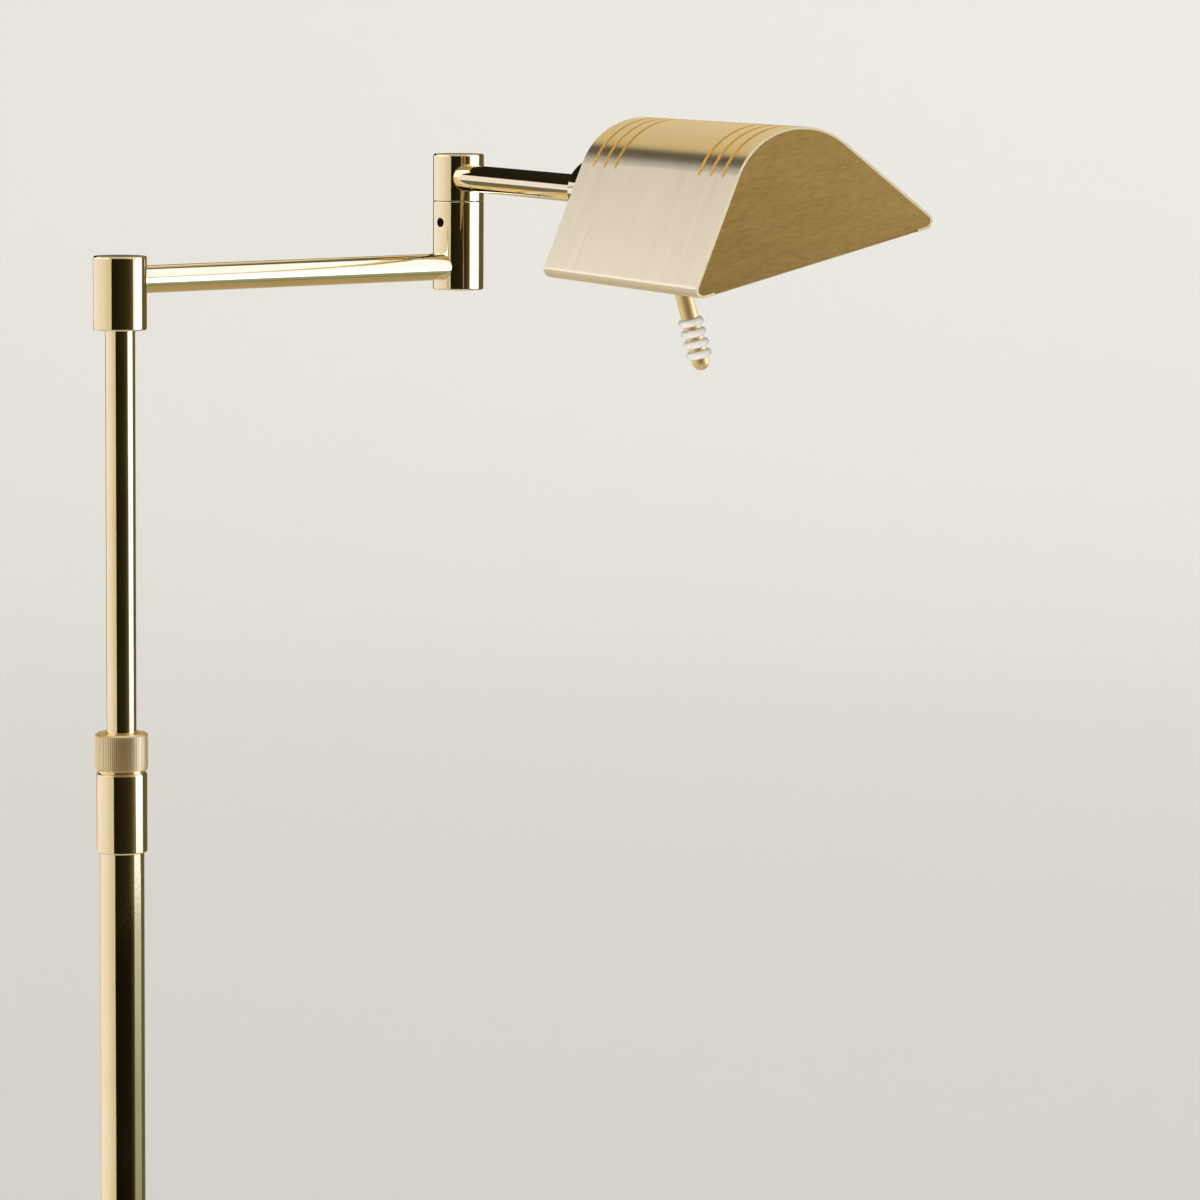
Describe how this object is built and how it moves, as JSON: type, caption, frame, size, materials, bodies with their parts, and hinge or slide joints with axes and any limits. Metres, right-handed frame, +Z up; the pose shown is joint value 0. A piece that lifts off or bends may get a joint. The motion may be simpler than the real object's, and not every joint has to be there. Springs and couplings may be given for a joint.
{
  "type": "reading lamp",
  "caption": "Free-standing swing-arm reading lamp: round weighted base, telescopic brass pole, jointed arm and a tilting tent-shaped shade with a grip rod that turns its switch.",
  "frame": {"origin": "centre of the base pad's underside, on the floor under the pole", "axes": "+Z up the pole; the upper arm and the shade point along -Y; +X to the right seen from the front"},
  "size_m": [0.3855, 0.4722, 1.1774],
  "materials": {
    "polished_brass": "polished and lacquered",
    "knurled_brass": "satin, straight knurl",
    "brushed_brass": "fine brushed satin",
    "zinc_steel": "zinc plated",
    "black_steel": "blackened",
    "nylon": "turned nylon",
    "black_rubber": "matte",
    "white_silicone": "smooth satin",
    "iron": "rough casting, black paint",
    "bright_aluminium": "bright rolled",
    "porcelain": "unglazed steatite",
    "frosted_glass": "frosted",
    "black_plastic": "moulded"
  },
  "bodies": {
    "stand": {"base_pad": "black_rubber", "base_weight": "iron", "base_cover": "polished_brass", "cord_gland": "black_rubber", "pole_flange": "polished_brass", "pole_nipple": "zinc_steel", "pole_plug": "zinc_steel", "base_washer": "zinc_steel", "base_nut": "zinc_steel", "lower_tube": "polished_brass", "clamp_sleeve": "polished_brass", "clamp_collet": "nylon"},
    "lock_ring": {"lock_ring": "knurled_brass"},
    "mast": {"upper_tube": "polished_brass", "tube_guide": "nylon", "post_spigot": "polished_brass", "cap_washer": "nylon"},
    "lower_arm": {"post_cap": "polished_brass", "cap_screw": "black_steel", "lower_arm": "polished_brass", "elbow_lower": "polished_brass", "elbow_screw": "black_steel", "elbow_washer": "nylon"},
    "upper_arm": {"elbow_upper": "polished_brass", "elbow_pin": "polished_brass", "upper_arm": "polished_brass", "tilt_spindle": "polished_brass", "tilt_washer": "nylon", "tilt_spring": "zinc_steel", "tilt_nut": "zinc_steel"},
    "head": {"socket_cup": "polished_brass", "shade_shell": "brushed_brass", "shade_front": "brushed_brass", "shade_rear": "brushed_brass", "reflector": "bright_aluminium", "reflector_studs": "zinc_steel", "lamp_socket": "porcelain", "shade_ring": "polished_brass", "bulb_cap": "zinc_steel", "bulb_glass": "frosted_glass", "switch_housing": "black_plastic", "switch_nut": "zinc_steel"},
    "grip": {"grip_rod": "polished_brass", "grip_rings": "white_silicone"}
  },
  "joints": [
    {"name": "pole_slide", "type": "slide", "parent": "stand", "child": "mast", "axis": [0, 0, 1], "range_m": [-0.188, 0.115]},
    {"name": "lock_ring_turn", "type": "hinge", "parent": "stand", "child": "lock_ring", "pos_m": [0, 0, 0.8776], "axis": [0, 0, 1], "range_deg": [0, 180]},
    {"name": "arm_swivel", "type": "hinge", "parent": "mast", "child": "lower_arm", "pos_m": [0, 0, 1.0985], "axis": [0, 0, 1], "range_deg": [-170, 170]},
    {"name": "elbow_swivel", "type": "hinge", "parent": "lower_arm", "child": "upper_arm", "pos_m": [0.19928, 0.09082, 1.14235], "axis": [0, 0, 1], "range_deg": [-50, 279]},
    {"name": "shade_tilt", "type": "hinge", "parent": "upper_arm", "child": "head", "pos_m": [0.19928, -0.1, 1.14235], "axis": [0, -1, 0], "range_deg": [-105, 74]},
    {"name": "switch_turn", "type": "hinge", "parent": "head", "child": "grip", "pos_m": [0.19928, -0.17818, 1.14235], "axis": [0.2656, 0, -0.9641], "range_deg": [0, 270]}
  ]
}
